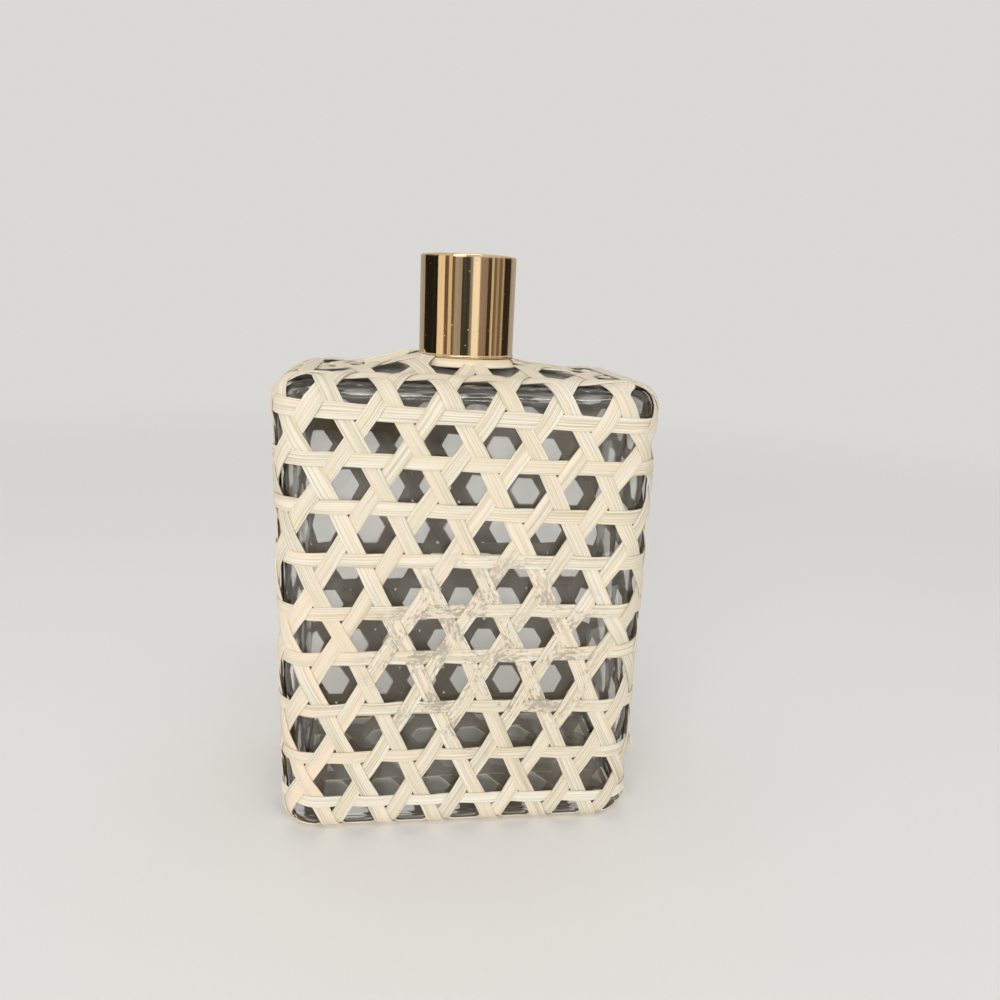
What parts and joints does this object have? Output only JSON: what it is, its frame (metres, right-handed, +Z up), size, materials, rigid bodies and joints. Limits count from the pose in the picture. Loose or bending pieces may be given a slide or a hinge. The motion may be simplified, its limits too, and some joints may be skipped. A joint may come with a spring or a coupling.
{
  "type": "wicker-wrapped whiskey bottle",
  "caption": "Flat clear glass bottle in an open hexagonal bamboo weave, with a tall gold screw cap that turns and lifts on its thread.",
  "frame": {"origin": "on the surface that the bottle stands on, under the middle of the base", "axes": "+Z up along the neck and cap, -Y out of the broad front face, +X to the right as seen from the front"},
  "size_m": [0.115, 0.068, 0.1779],
  "materials": {
    "clear_glass": "polished",
    "gold_metal": "polished gold",
    "liner_plastic": "moulded",
    "wad_board": "matt",
    "bamboo": "split, bare"
  },
  "bodies": {
    "bottle": {"base_hoop": "bamboo", "base_strip_1": "bamboo", "base_strip_2": "bamboo", "falling_strip_01": "bamboo", "falling_strip_02": "bamboo", "falling_strip_03": "bamboo", "falling_strip_04": "bamboo", "falling_strip_05": "bamboo", "falling_strip_06": "bamboo", "falling_strip_07": "bamboo", "falling_strip_08": "bamboo", "falling_strip_09": "bamboo", "falling_strip_10": "bamboo", "falling_strip_11": "bamboo", "falling_strip_12": "bamboo", "falling_strip_13": "bamboo", "falling_strip_14": "bamboo", "falling_strip_15": "bamboo", "falling_strip_16": "bamboo", "glass_bottle": "clear_glass", "hoop_01": "bamboo", "hoop_02": "bamboo", "hoop_03": "bamboo", "hoop_04": "bamboo", "hoop_05": "bamboo", "hoop_06": "bamboo", "hoop_07": "bamboo", "hoop_08": "bamboo", "hoop_09": "bamboo", "neck_ring": "bamboo", "rising_strip_01": "bamboo", "rising_strip_02": "bamboo", "rising_strip_03": "bamboo", "rising_strip_04": "bamboo", "rising_strip_05": "bamboo", "rising_strip_06": "bamboo", "rising_strip_07": "bamboo", "rising_strip_08": "bamboo", "rising_strip_09": "bamboo", "rising_strip_10": "bamboo", "rising_strip_11": "bamboo", "rising_strip_12": "bamboo", "rising_strip_13": "bamboo", "rising_strip_14": "bamboo", "rising_strip_15": "bamboo", "rising_strip_16": "bamboo", "rising_strip_17": "bamboo", "rising_strip_18": "bamboo", "shoulder_hoop": "bamboo", "top_strip_1": "bamboo", "top_strip_2": "bamboo", "top_strip_3": "bamboo", "top_strip_4": "bamboo"},
    "seal": {"sealing_wad": "wad_board"},
    "cap": {"cap_liner": "liner_plastic", "cap_shell": "gold_metal"}
  },
  "joints": [
    {"name": "cap_lift", "type": "slide", "parent": "bottle", "child": "seal", "axis": [0, 0, 1], "range_m": [0, 0.0074]},
    {"name": "cap_turn", "type": "hinge", "parent": "seal", "child": "cap", "pos_m": [0, 0, 0.16], "axis": [0, 0, 1], "range_deg": [0, 630]}
  ],
  "couplings": [
    {"joint": "cap_lift", "follows": "cap_turn", "m_per_rad": 0.00066845}
  ]
}
